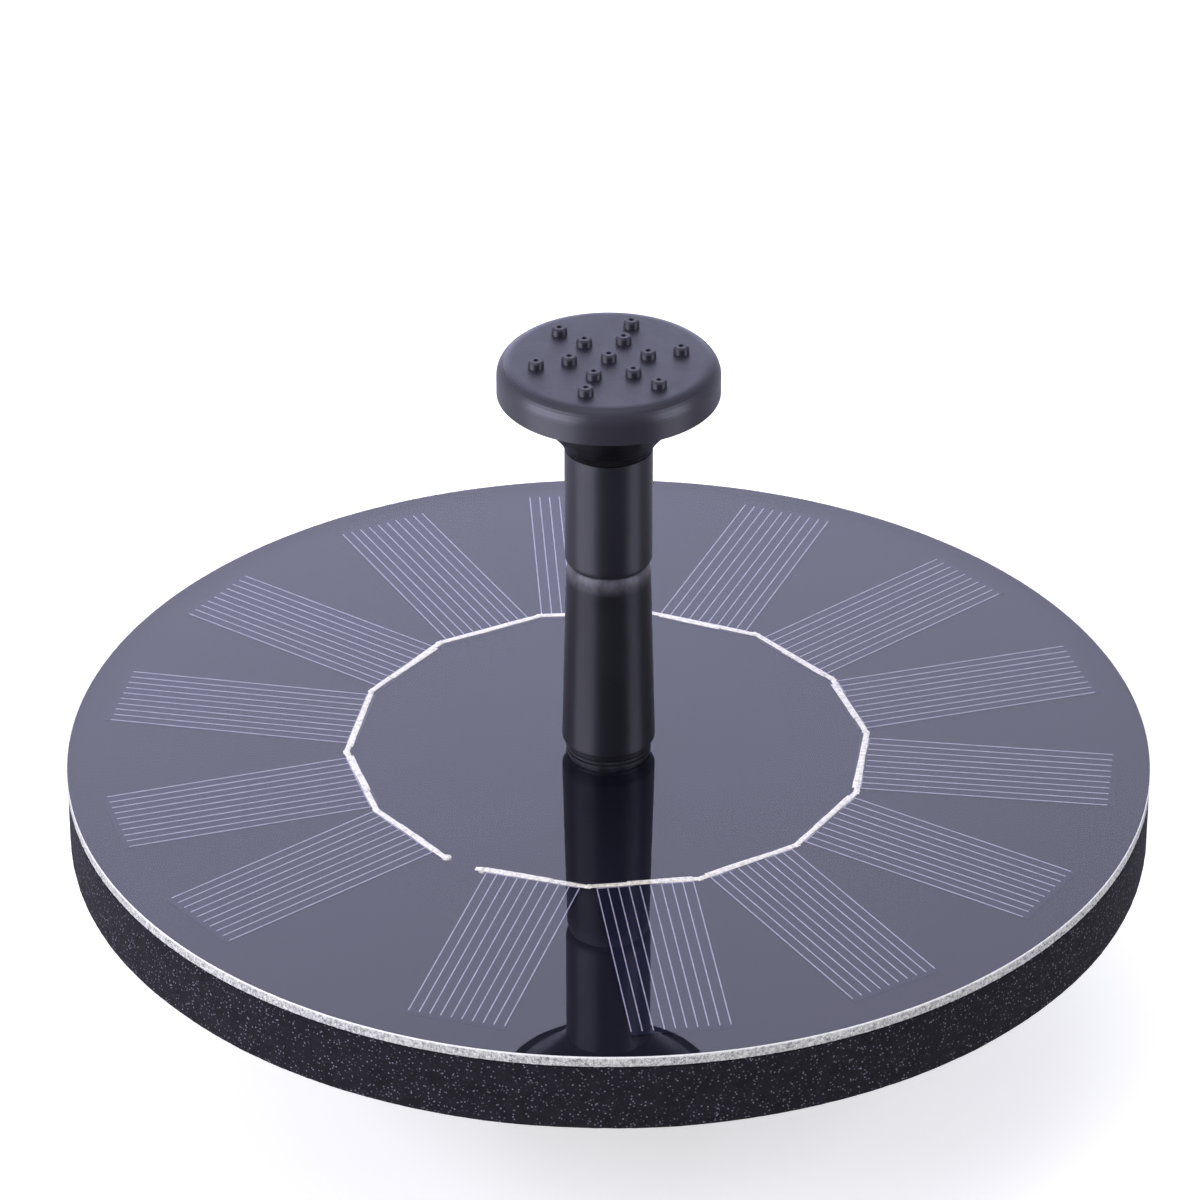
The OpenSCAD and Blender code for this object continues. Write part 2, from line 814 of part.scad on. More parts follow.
// Pan-head screws that hold the pump's flange to the base plate
module mounting_screws() {
    slot_depth = 0.8;
    slot_len = 3;
    slot_t = 0.6;
    color([0.7, 0.71, 0.72])
        for (a = screw_angles)
            rotate(a)
                translate([screw_ring_r, 0, 0])
                    difference() {
                        union() {
                            translate([0, 0, flange_z - screw_head_h])
                                cylinder(r = screw_head_r, h = screw_head_h);
                            translate([0, 0, flange_z - eps])
                                cylinder(r = screw_r, h = flange_t + screw_depth + eps);
                        }
                        for (q = [0, 90])
                            rotate(q)
                                translate([-slot_len / 2, -slot_t / 2,
                                           flange_z - screw_head_h - over])
                                    cube([slot_len, slot_t, slot_depth + over]);
                    }
}

panel_cover();
panel_board();
solar_cells();
cell_fingers();
busbar_ribbon();
foam_float();
float_tape();
base_plate();
outlet_seal();
riser_tube();
head_sleeve();
spray_head_body();
spray_head_cap();
pump_housing();
impeller_cover();
cover_o_ring();
stator_core();
stator_coils();
driver_board();
driver_components();
potting_compound();
rotor_magnet();
impeller();
rotor_shaft();
shaft_bushes();
panel_leads();
solder_joints();
sponge_filter();
strainer_cover();
mounting_screws();
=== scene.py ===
"""Looks for the floating solar fountain pump: materials, foam float, filter sponge,
tinned ribbon, cut panel edge, studio and camera. Everything is in metres."""
import math

import bmesh
import bpy
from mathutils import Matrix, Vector, noise as mnoise


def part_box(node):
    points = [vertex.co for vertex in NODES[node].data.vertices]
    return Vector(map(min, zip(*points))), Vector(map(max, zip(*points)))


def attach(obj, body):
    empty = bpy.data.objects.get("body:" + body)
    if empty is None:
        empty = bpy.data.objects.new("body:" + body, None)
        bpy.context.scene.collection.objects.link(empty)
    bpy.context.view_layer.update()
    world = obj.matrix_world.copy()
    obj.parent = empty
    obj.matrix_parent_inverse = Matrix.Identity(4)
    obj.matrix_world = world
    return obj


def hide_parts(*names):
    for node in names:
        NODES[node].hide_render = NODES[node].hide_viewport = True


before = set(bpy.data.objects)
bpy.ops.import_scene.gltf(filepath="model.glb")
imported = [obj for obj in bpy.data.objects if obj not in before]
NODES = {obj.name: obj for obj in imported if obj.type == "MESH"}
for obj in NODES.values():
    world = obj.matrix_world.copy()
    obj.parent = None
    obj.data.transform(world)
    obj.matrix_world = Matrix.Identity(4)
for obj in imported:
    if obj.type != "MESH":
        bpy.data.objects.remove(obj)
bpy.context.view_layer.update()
MM = 0.001


# ---- Sizes read from the frame ----

def low(node):
    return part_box(node)[0]


def high(node):
    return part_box(node)[1]


PANEL_TOP = high("panel_cover").z
PANEL_R = high("panel_cover").x
BOARD_LOW = low("panel_board").z
RIBBON_LOW = low("busbar_ribbon").z
SHOULDER = low("head_sleeve").z
FIRST_CELL = math.radians(-106)  # direction of the cell at the ribbon's first end
RIBBON_SEAT = 0.9 * MM  # how far past a cell's inner end the ribbon's middle runs
OPEN_ENDS = (8.3 * MM, 9.5 * MM)  # how far the ribbon runs past the first and last cell
BASE = "pump_and_panel"


# ---- Material helpers ----

class Graph:
    """A material's node tree, with short ways to add and join nodes."""

    def __init__(self, name):
        self.material = bpy.data.materials.new(name)
        self.material.use_nodes = True
        self.tree = self.material.node_tree
        self.tree.nodes.clear()
        self.coords = self.add("ShaderNodeTexCoord").outputs["Object"]

    def add(self, kind, inputs=None, **settings):
        node = self.tree.nodes.new(kind)
        for key, value in settings.items():
            setattr(node, key, value)
        for key, value in (inputs or {}).items():
            self.feed(node.inputs[key], value)
        return node

    def feed(self, socket, value):
        if isinstance(value, bpy.types.NodeSocket):
            self.tree.links.new(value, socket)
        else:
            socket.default_value = value

    def stretch(self, scale):
        """The object's coordinates, scaled differently along each axis."""
        node = self.add("ShaderNodeMapping", {"Vector": self.coords})
        node.inputs["Scale"].default_value = scale
        return node.outputs["Vector"]

    def noise(self, size, detail=2.0, rough=0.5, coords=None):
        """Soft noise whose blobs are about size metres across, from 0 to 1."""
        node = self.add("ShaderNodeTexNoise", {"Vector": coords or self.coords})
        node.inputs["Scale"].default_value = 1 / size
        node.inputs["Detail"].default_value = detail
        node.inputs["Roughness"].default_value = rough
        return node.outputs["Fac"]

    def cells(self, size, feature="F1", coords=None):
        """Distance pattern of cells about size metres across."""
        node = self.add("ShaderNodeTexVoronoi", {"Vector": coords or self.coords},
                        feature=feature)
        node.inputs["Scale"].default_value = 1 / size
        return node.outputs["Distance"]

    def spread(self, value, low_in, high_in, low_out=0.0, high_out=1.0):
        node = self.add("ShaderNodeMapRange", {"Value": value})
        node.inputs["From Min"].default_value = low_in
        node.inputs["From Max"].default_value = high_in
        node.inputs["To Min"].default_value = low_out
        node.inputs["To Max"].default_value = high_out
        return node.outputs["Result"]

    def math(self, operation, a, b=0.0):
        node = self.add("ShaderNodeMath", operation=operation)
        self.feed(node.inputs[0], a)
        self.feed(node.inputs[1], b)
        return node.outputs["Value"]

    def blend_colour(self, share, a, b):
        node = self.add("ShaderNodeMix", data_type="RGBA")
        self.feed(node.inputs["Factor"], share)
        self.feed(node.inputs["A"], a if not isinstance(a, tuple) else (*a, 1))
        self.feed(node.inputs["B"], b if not isinstance(b, tuple) else (*b, 1))
        return node.outputs["Result"]

    def bump(self, height, depth, strength=1.0, under=None):
        """A bump of the given depth in metres from a height of 0 to 1."""
        node = self.add("ShaderNodeBump", {"Height": height})
        node.inputs["Distance"].default_value = depth
        node.inputs["Strength"].default_value = strength
        if under is not None:
            self.feed(node.inputs["Normal"], under)
        return node.outputs["Normal"]

    def principled(self, colour, rough, normal=None, **sockets):
        node = self.add("ShaderNodeBsdfPrincipled")
        self.feed(node.inputs["Base Color"],
                  (*colour, 1) if isinstance(colour, tuple) else colour)
        self.feed(node.inputs["Roughness"], rough)
        if normal is not None:
            self.feed(node.inputs["Normal"], normal)
        for key, value in sockets.items():
            node.inputs[key.replace("_", " ")].default_value = value
        return node.outputs["BSDF"]

    def mix(self, share, a, b):
        node = self.add("ShaderNodeMixShader")
        self.feed(node.inputs[0], share)
        self.feed(node.inputs[1], a)
        self.feed(node.inputs[2], b)
        return node.outputs["Shader"]

    def done(self, shader):
        out = self.add("ShaderNodeOutputMaterial")
        self.feed(out.inputs["Surface"], shader)
        return self.material


def moulded_shader(g, colour, rough, peel=0.45 * MM, depth=0.012 * MM, rub=0.05, **sockets):
    """Moulded plastic: an orange-peel skin, faint colour drift and rubbed patches."""
    drift = g.noise(14 * MM, 3)
    rubbed = g.noise(3.5 * MM, 4, 0.65)
    shade = g.spread(drift, 0.3, 0.7, 0.82, 1.0)
    dark = tuple(c * 0.8 for c in colour)
    tone = g.blend_colour(shade, dark, colour)
    roughness = g.spread(rubbed, 0.25, 0.75, rough - rub, rough + rub)
    skin = g.noise(peel, 2, 0.6)
    coarse = g.bump(g.noise(6 * peel, 2), 2 * depth, 0.5)
    return g.principled(tone, roughness, g.bump(skin, depth, 1, coarse), **sockets)


def moulded(name, colour, rough, **settings):
    g = Graph(name)
    return g.done(moulded_shader(g, colour, rough, **settings))


def turned_shader(g, colour, rough, level=0.5, worn_at=None):
    """Satin plastic with fine rings round it, which draw highlights out along it.
    Just above the height that the last argument gives, it has a streaked grey band of painted
    reflection, standing in for the sheen of the riser's rounded shoulder."""
    rings = g.noise(0.22 * MM, 3, 0.6, g.stretch((0.05, 0.05, 1)))
    drift = g.noise(10 * MM, 3)
    tone = g.blend_colour(g.spread(drift, 0.3, 0.7), tuple(c * 0.75 for c in colour), colour)
    tone = g.blend_colour(g.spread(rings, 0.6, 0.8, 0, 0.3), tone, tuple(c * 1.8 for c in colour))
    # Painted reflection: a lighter grey band round the shoulder, mottled by streaks, laid into the
    # base colour.
    if worn_at is not None:
        height = g.add("ShaderNodeSeparateXYZ", {"Vector": g.coords}).outputs["Z"]
        near = g.spread(height, worn_at - 1.4 * MM, worn_at + 0.7 * MM)
        past = g.spread(height, worn_at + 1.6 * MM, worn_at + 2.6 * MM, 1, 0.12)
        streaks = g.noise(0.7 * MM, 4, 0.7, g.stretch((1, 1, 0.4)))
        reflection_mottle = g.spread(streaks, 0.3, 0.68, 0.35, 1)
        band = g.math("MULTIPLY", near, past)
        tone = g.blend_colour(g.math("MULTIPLY", band, reflection_mottle), tone, (0.10, 0.098, 0.108))
    roughness = g.spread(g.noise(2.5 * MM, 4, 0.7), 0.2, 0.8, rough - 0.05, rough + 0.05)
    skin = g.bump(g.noise(0.4 * MM, 2), 0.004 * MM)
    return g.principled(tone, roughness, g.bump(rings, 0.003 * MM, 0.5, skin),
                        Specular_IOR_Level=level, Anisotropic=0.85,
                        Anisotropic_Rotation=0.25)


def turned(name, colour, rough, **settings):
    g = Graph(name)
    return g.done(turned_shader(g, colour, rough, **settings))


def head_material():
    """Spray head cap: a satin turned side and a finely grained top, told apart by how
    far the surface faces up."""
    g = Graph("head_plastic")
    top = moulded_shader(g, (0.017, 0.016, 0.022), 0.42, peel=0.35 * MM)
    side = turned_shader(g, (0.020, 0.019, 0.026), 0.45, level=1.0)
    normal = g.add("ShaderNodeNewGeometry").outputs["Normal"]
    upright = g.add("ShaderNodeSeparateXYZ", {"Vector": normal}).outputs["Z"]
    return g.done(g.mix(g.spread(upright, 0.35, 0.8), side, top))


def sawn_edge(g):
    """The panel's cut rim: milky and grainy outside, with pale glass-fibre specks that also carry
    painted sparkle, and dark where it is seen from inside through the clear cover, where the
    photograph shows no pale line."""
    grain = g.noise(0.55 * MM, 4, 0.75)
    flecks = g.cells(0.3 * MM)
    tone = g.blend_colour(g.spread(grain, 0.36, 0.62), (0.15, 0.15, 0.15), (0.52, 0.52, 0.46))
    # Pale specks: glass-fibre ends, lightened further as painted sparkle.
    tone = g.blend_colour(g.spread(flecks, 0.1, 0.35, 0.85, 0), tone, (0.85, 0.85, 0.76))
    height = g.add("ShaderNodeSeparateXYZ", {"Vector": g.coords}).outputs["Z"]
    crest = g.spread(height, PANEL_TOP - 0.35 * MM, PANEL_TOP - 0.1 * MM, 0, 0.8)
    tone = g.blend_colour(crest, tone, (0.85, 0.85, 0.76))
    bumps = g.bump(g.noise(0.22 * MM, 3, 0.7), 0.08 * MM)
    frost = g.principled(tone, g.spread(grain, 0.3, 0.7, 0.18, 0.55), bumps,
                         Specular_IOR_Level=0.7)
    dark = g.principled((0.005, 0.006, 0.008), 0.4, Specular_IOR_Level=0.1)
    normal = g.add("ShaderNodeNewGeometry").outputs["Normal"]
    facing = g.add("ShaderNodeVectorMath", operation="DOT_PRODUCT")
    g.feed(facing.inputs[0], normal)
    g.feed(facing.inputs[1], g.coords)
    outside = g.math("GREATER_THAN", facing.outputs["Value"], 0.0)
    return g.mix(outside, dark, frost)


def cover_material():
    """Clear glossy cover. It reflects from outside only and is clear from within."""
    g = Graph("clear_gloss_cover")
    ripple = g.bump(g.noise(26 * MM, 2), 0.015 * MM, 0.35)
    haze = g.spread(g.noise(9 * MM, 4, 0.6), 0.3, 0.7, 0.008, 0.022)
    film = g.add("ShaderNodeBsdfTransparent")
    tint = g.blend_colour(g.noise(40 * MM, 2), (0.95, 0.95, 0.98), (0.97, 0.97, 0.99))
    g.feed(film.inputs["Color"], tint)
    gloss = g.add("ShaderNodeBsdfAnisotropic")
    gloss.inputs["Color"].default_value = (1, 1, 1, 1)
    g.feed(gloss.inputs["Roughness"], haze)
    g.feed(gloss.inputs["Normal"], ripple)
    fresnel = g.add("ShaderNodeFresnel")
    fresnel.inputs["IOR"].default_value = 1.62
    outside = g.math("SUBTRACT", 1.0, g.add("ShaderNodeNewGeometry").outputs["Backfacing"])
    share = g.math("MULTIPLY", fresnel.outputs["Fac"], outside)
    return g.done(g.mix(share, film.outputs["BSDF"], gloss.outputs["BSDF"]))


def board_material():
    """Near-black laminate under the cover."""
    g = Graph("panel_laminate")
    cloud = g.noise(30 * MM, 3)
    tone = g.blend_colour(g.spread(cloud, 0.3, 0.7), (0.0065, 0.0075, 0.0105),
                          (0.0085, 0.0095, 0.0135))
    return g.done(g.principled(tone, g.spread(cloud, 0.3, 0.7, 0.45, 0.6),
                               Specular_IOR_Level=0.03))


def cell_material():
    """Silicon cell: deep navy with a faint drift of hue from cell to cell."""
    g = Graph("silicon_cell")
    drift = g.noise(35 * MM, 2)
    fine = g.noise(1.2 * MM, 3)
    tone = g.blend_colour(g.spread(drift, 0.35, 0.65), (0.0035, 0.0045, 0.012),
                          (0.0045, 0.006, 0.016))
    tone = g.blend_colour(g.spread(fine, 0.3, 0.8, 0, 0.25), tone, (0.005, 0.0075, 0.021))
    return g.done(g.principled(tone, g.spread(fine, 0.3, 0.7, 0.35, 0.5),
                               Specular_IOR_Level=0.03))


def finger_material():
    """Fired silver print, slightly uneven along each finger. It is dark beside the
    ribbon, where the photograph shows no bar."""
    g = Graph("silver_print")
    wear = g.noise(1.1 * MM, 4, 0.7)
    tone = g.blend_colour(g.spread(wear, 0.3, 0.65), (0.22, 0.215, 0.24), (0.42, 0.41, 0.45))
    lo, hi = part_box("solar_cells")
    bar_reach = 38.3 * MM
    reach = g.add("ShaderNodeVectorMath", operation="DISTANCE")
    g.feed(reach.inputs[0], g.coords)
    g.feed(reach.inputs[1], ((lo.x + hi.x) / 2, (lo.y + hi.y) / 2, hi.z))
    by_ribbon = g.math("LESS_THAN", reach.outputs["Value"], bar_reach)
    tone = g.blend_colour(by_ribbon, tone, (0.012, 0.012, 0.018))
    return g.done(g.principled(tone, g.spread(wear, 0.3, 0.7, 0.45, 0.65),
                               Specular_IOR_Level=0.2))


def ribbon_material():
    """Tinned copper ribbon: cream solder skin with creases and dull spots."""
    g = Graph("tinned_ribbon")
    skin = g.noise(0.7 * MM, 4, 0.7)
    spots = g.noise(1.3 * MM, 4, 0.7)
    tone = g.blend_colour(g.spread(skin, 0.35, 0.6), (0.62, 0.59, 0.40), (0.93, 0.90, 0.64))
    tone = g.blend_colour(g.spread(spots, 0.58, 0.70, 0, 0.6), tone, (0.22, 0.21, 0.16))
    bumps = g.bump(skin, 0.07 * MM, 0.9, g.bump(g.noise(0.25 * MM, 2), 0.03 * MM))
    return g.done(g.principled(tone, g.spread(skin, 0.3, 0.7, 0.2, 0.4), bumps, IOR=1.62))


def foam_material():
    """Charcoal closed-cell foam with fine pores, darkened in their middles by painted shade, and
    sparse pale specks of painted glint.
    """
    g = Graph("float_foam")
    pores = g.cells(0.42 * MM)
    mottle = g.noise(2.2 * MM, 4, 0.65)
    painted_glint_cells = g.cells(0.55 * MM)
    tone = g.blend_colour(g.spread(mottle, 0.3, 0.7), (0.0044, 0.0040, 0.0056),
                          (0.0100, 0.0090, 0.0122))
    # Painted shade: each pore's middle is darker.
    tone = g.blend_colour(g.spread(pores, 0.0, 0.3, 0.5, 0), tone, (0.004, 0.004, 0.005))
    # Painted glint: sparse pale specks laid into the base colour.
    rare = g.spread(g.noise(1.1 * MM, 3, 0.7), 0.36, 0.58, 0.15, 1)
    painted_glint_share = g.math("MULTIPLY", rare, g.spread(painted_glint_cells, 0.12, 0.28, 1, 0))
    tone = g.blend_colour(painted_glint_share, tone, (0.17, 0.155, 0.19))
    bumps = g.bump(pores, 0.07 * MM, 0.9, g.bump(mottle, 0.12 * MM, 0.6))
    return g.done(g.principled(tone, 0.85, bumps, Specular_IOR_Level=0.18,
                               Sheen_Weight=0.02, Sheen_Roughness=0.5))


def sponge_material():
    g = Graph("filter_sponge")
    pores = g.cells(0.9 * MM)
    # Painted shade: darker towards each pore's middle.
    tone = g.blend_colour(g.spread(pores, 0.15, 0.5), (0.004, 0.004, 0.006), (0.05, 0.054, 0.066))
    return g.done(g.principled(tone, 0.95, g.bump(pores, 0.5 * MM), Specular_IOR_Level=0.2))


def rubber_material():
    g = Graph("soft_rubber")
    bloom = g.noise(2 * MM, 3)
    tone = g.blend_colour(g.spread(bloom, 0.35, 0.7), (0.010, 0.010, 0.012), (0.022, 0.022, 0.026))
    return g.done(g.principled(tone, g.spread(bloom, 0.3, 0.7, 0.32, 0.5),
                               g.bump(g.noise(0.3 * MM, 2), 0.015 * MM)))


def metal(name, colour, rough, grain, along=(1, 1, 1), depth=0.006 * MM):
    """Bare metal with a directional grain."""
    g = Graph(name)
    lines = g.noise(grain, 3, 0.6, g.stretch(along))
    tone = g.blend_colour(g.spread(lines, 0.3, 0.7), tuple(c * 0.75 for c in colour), colour)
    return g.done(g.principled(tone, g.spread(lines, 0.3, 0.7, rough - 0.08, rough + 0.1),
                               g.bump(lines, depth), Metallic=1.0))


def laminations_material():
    """Stator stack: 0.5 mm steel sheets across Y."""
    g = Graph("steel_laminations")
    sheet = 0.5 * MM
    y = g.add("ShaderNodeSeparateXYZ", {"Vector": g.coords}).outputs["Y"]
    phase = g.math("FRACT", g.math("DIVIDE", y, sheet))
    seam = g.spread(phase, 0.0, 0.18, 1, 0)
    tone = g.blend_colour(seam, (0.33, 0.33, 0.35), (0.06, 0.05, 0.05))
    return g.done(g.principled(tone, 0.4, g.bump(seam, -0.05 * MM), Metallic=0.9))


def winding_material():
    """Enamelled copper wire wound in fine turns, darker between the turns with painted shade."""
    g = Graph("copper_winding")
    wave = g.add("ShaderNodeTexWave", {"Vector": g.coords}, wave_type="BANDS",
                 bands_direction="DIAGONAL")
    wave.inputs["Scale"].default_value = 1 / (1.1 * MM)
    wave.inputs["Distortion"].default_value = 0.4
    turn = wave.outputs["Fac"]
    # Painted shade: the copper darkens in the grooves between turns.
    tone = g.blend_colour(turn, (0.20, 0.05, 0.015), (0.62, 0.24, 0.08))
    return g.done(g.principled(tone, 0.28, g.bump(turn, 0.1 * MM), Metallic=0.7,
                               Coat_Weight=0.5))


def board_green_material():
    g = Graph("solder_mask")
    tracks = g.cells(2.4 * MM, "DISTANCE_TO_EDGE")
    lit = g.spread(tracks, 0.02, 0.08, 0, 1)
    tone = g.blend_colour(lit, (0.02, 0.10, 0.04), (0.012, 0.055, 0.025))
    return g.done(g.principled(tone, 0.3, g.bump(lit, -0.02 * MM), Coat_Weight=0.3))


def epoxy_material():
    """Poured black epoxy: glossy, with slow waves and pinholes."""
    g = Graph("potting_epoxy")
    waves = g.bump(g.noise(7 * MM, 2), 0.25 * MM)
    holes = g.spread(g.cells(3.2 * MM), 0.04, 0.09, 0, 1)
    tone = g.blend_colour(g.noise(5 * MM, 2), (0.008, 0.008, 0.009), (0.014, 0.014, 0.016))
    return g.done(g.principled(tone, g.spread(g.noise(4 * MM, 3), 0.3, 0.7, 0.12, 0.28),
                               g.bump(holes, 0.15 * MM, 1, waves)))


def ceramic_material():
    g = Graph("ground_ceramic")
    fine = g.noise(0.3 * MM, 3)
    tone = g.blend_colour(fine, (0.78, 0.76, 0.70), (0.88, 0.87, 0.82))
    return g.done(g.principled(tone, g.spread(fine, 0.3, 0.7, 0.15, 0.3)))


def lead_material():
    """Insulation: the lead nearer +X is black and the other is red. Both are stripped
    and tinned where they come up through the board."""
    g = Graph("lead_insulation")
    place = g.add("ShaderNodeSeparateXYZ", {"Vector": g.coords})
    lo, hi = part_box("panel_leads")
    slant = -0.27
    across = g.math("ADD", place.outputs["X"], g.math("MULTIPLY", place.outputs["Y"], slant))
    split = (lo.x + hi.x) / 2 + 0.9 * MM
    which = g.math("GREATER_THAN", across, split)
    dust = g.noise(0.8 * MM, 3)
    red = g.blend_colour(dust, (0.30, 0.015, 0.012), (0.42, 0.03, 0.02))
    tone = g.blend_colour(which, red, (0.014, 0.014, 0.016))
    stripped = g.math("GREATER_THAN", place.outputs["Z"], BOARD_LOW + 0.2 * MM)
    tone = g.blend_colour(stripped, tone, (0.70, 0.68, 0.50))
    return g.done(g.principled(tone, 0.42, g.bump(dust, 0.02 * MM)))


def tape_material():
    g = Graph("float_tape")
    weave = g.noise(0.5 * MM, 3)
    tone = g.blend_colour(weave, (0.50, 0.49, 0.46), (0.66, 0.65, 0.62))
    return g.done(g.principled(tone, 0.6, g.bump(weave, 0.02 * MM)))


def paint(node, material):
    """Gives a CAD node one material."""
    slots = NODES[node].data.materials
    slots.clear()
    slots.append(material)


def paint_all():
    black = moulded("black_plastic", (0.019, 0.019, 0.022), 0.42)
    rubber = rubber_material()
    steel = metal("stainless", (0.62, 0.62, 0.64), 0.28, 0.5 * MM)
    looks = {
        "panel_board": board_material(),
        "solar_cells": cell_material(),
        "cell_fingers": finger_material(),
        "float_tape": tape_material(),
        "base_plate": black,
        "pump_housing": black,
        "strainer_cover": black,
        "impeller_cover": moulded("grey_plastic", (0.035, 0.035, 0.042), 0.38),
        "outlet_seal": rubber,
        "cover_o_ring": rubber,
        "shaft_bushes": rubber,
        # The riser gets a grey band of painted reflection at its shoulder, by the sleeve's lower
        # end.
        "riser_tube": turned("riser_plastic", (0.011, 0.0105, 0.0135), 0.42,
                             worn_at=SHOULDER - 1.6 * MM),
        "head_sleeve": turned("sleeve_plastic", (0.012, 0.0115, 0.0155), 0.42, level=0.85),
        "spray_head_body": moulded("neck_plastic", (0.005, 0.005, 0.006), 0.30,
                                   depth=0.005 * MM, Specular_IOR_Level=0.3),
        "spray_head_cap": head_material(),
        "stator_core": laminations_material(),
        "stator_coils": winding_material(),
        "driver_board": board_green_material(),
        "driver_components": moulded("component_black", (0.014, 0.014, 0.015), 0.5,
                                     peel=0.15 * MM),
        "potting_compound": epoxy_material(),
        "rotor_magnet": moulded("bare_ferrite", (0.045, 0.045, 0.05), 0.5, peel=0.2 * MM,
                                depth=0.02 * MM),
        "impeller": moulded("pale_plastic", (0.50, 0.51, 0.53), 0.35),
        "rotor_shaft": ceramic_material(),
        "panel_leads": lead_material(),
        "solder_joints": metal("solder", (0.70, 0.71, 0.72), 0.3, 0.6 * MM),
        "mounting_screws": steel,
    }
    for node, material in looks.items():
        paint(node, material)


# ---- Pieces ----

def new_piece(name, mesh, material, body=BASE, smooth=True):
    """A finished mesh as a piece of the object."""
    if smooth:
        for face in mesh.polygons:
            face.use_smooth = True
    mesh.materials.append(material)
    piece = bpy.data.objects.new(name, mesh)
    bpy.context.scene.collection.objects.link(piece)
    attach(piece, body)
    return piece


def revolved(name, outline, segments, shape=None):
    """A closed ring from an outline of (radius, height) points. shape moves a point
    (angle, radius, height) before it is placed, for hand-cut unevenness."""
    mesh = bpy.data.meshes.new(name)
    bm = bmesh.new()
    rings = []
    for s in range(segments):
        angle = 2 * math.pi * s / segments
        ring = []
        for r, z in outline:
            if shape:
                r, z = shape(angle, r, z)
            ring.append(bm.verts.new((r * math.cos(angle), r * math.sin(angle), z)))
        rings.append(ring)
    for s in range(segments):
        here, there = rings[s], rings[(s + 1) % segments]
        for k in range(len(outline)):
            m = (k + 1) % len(outline)
            bm.faces.new((here[k], there[k], there[m], here[m]))
    bmesh.ops.recalc_face_normals(bm, faces=bm.faces)
    bm.to_mesh(mesh)
    bm.free()
    return mesh


def arc(centre, radius, start, end, steps):
    """Points on an arc in the (radius, height) plane, angles in degrees."""
    points = []
    for k in range(steps + 1):
        a = math.radians(start + (end - start) * k / steps)
        points.append((centre[0] + radius * math.cos(a), centre[1] + radius * math.sin(a)))
    return points


def wobble(angle, z, size, seed):
    """Smooth noise round the ring, from about -1 to 1."""
    return mnoise.noise(Vector((math.cos(angle) * size, math.sin(angle) * size, z * 400 + seed)))


def foam_float():
    """The float: cut foam with soft lower edges and a slightly uneven side."""
    lo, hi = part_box("foam_float")
    r_out = hi.x
    mesh_node = NODES["foam_float"].data
    r_in = min(math.hypot(v.co.x, v.co.y) for v in mesh_node.vertices)
    bottom, top = lo.z, hi.z
    soft = 0.6 * MM
    crisp = 0.3 * MM
    side_steps = 8
    side_low, side_high = bottom + soft, top - crisp
    outline = arc((r_in + soft, bottom + soft), soft, 180, 270, 5)
    outline += [(r_in + (r_out - r_in) * k / 10, bottom) for k in range(1, 10)]
    outline += arc((r_out - soft, bottom + soft), soft, 270, 360, 5)
    outline += [(r_out, side_low + (side_high - side_low) * k / side_steps)
                for k in range(1, side_steps)]
    outline += arc((r_out - crisp, top - crisp), crisp, 0, 90, 3)
    outline += arc((r_in + crisp, top - crisp), crisp, 90, 180, 3)
    outline += [(r_in, side_high + (side_low - side_high) * k / 4) for k in range(1, 4)]

    def cut(angle, r, z):
        if r > r_out - 2 * MM and z < top - crisp / 2:
            r += 0.10 * wobble(angle, 0, 3, 1) * MM
            r += 0.05 * MM * wobble(angle, z, 90, 5)
        if z < bottom + 0.5 * soft:
            z += (0.06 + 0.06 * wobble(angle, 0, 5, 9)) * MM
        return r, z

    mesh = revolved("foam_float_cut", outline, 720, cut)
    piece = new_piece("foam_float_cut", mesh, foam_material())
    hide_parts("foam_float")


def panel_edge():
    """The sawn rim of the panel: a thin rough skin with chips along its arrises."""
    proud = 0.02 * MM
    rows = 9
    top, bottom = PANEL_TOP + 0.004 * MM, BOARD_LOW + 0.01 * MM
    r_in = PANEL_R - 0.05 * MM
    outline = [(r_in, bottom)]
    outline += [(PANEL_R + proud, bottom + (top - bottom) * k / rows) for k in range(rows + 1)]
    outline += [(r_in, top)]

    def sawn(angle, r, z):
        if r <= r_in:
            return r, z
        r += 0.05 * MM * (0.6 + wobble(angle, z * 6, 260, 3))
        share = (z - bottom) / (top - bottom)
        if share > 0.95:
            r -= 0.09 * MM * max(0.0, wobble(angle, 0, 70, 11))
            z += 0.02 * MM * wobble(angle, 0, 180, 21)
        return r, z

    g = Graph("sawn_panel_rim")
    material = g.done(sawn_edge(g))
    mesh = revolved("panel_rim_cut", outline, 2400, sawn)
    new_piece("panel_rim_cut", mesh, material, smooth=False)


def cover_sheet():
    """The clear cover, raised over the cells and held a hair off the laminate."""
    hair = 0.015 * MM
    lo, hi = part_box("panel_cover")
    r_hole = min(math.hypot(v.co.x, v.co.y) for v in NODES["panel_cover"].data.vertices)
    bend = 0.12 * MM
    r_out = hi.x - hair
    outline = [(r_hole, lo.z + hair), (r_out, lo.z + hair)]
    outline += arc((r_out - bend, hi.z - bend), bend, 0, 90, 4)
    outline += arc((r_hole + bend, hi.z - bend), bend, 90, 180, 4)
    mesh = revolved("clear_cover_sheet", outline, 720)
    piece = new_piece("clear_cover_sheet", mesh, cover_material(), smooth=False)
    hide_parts("panel_cover")


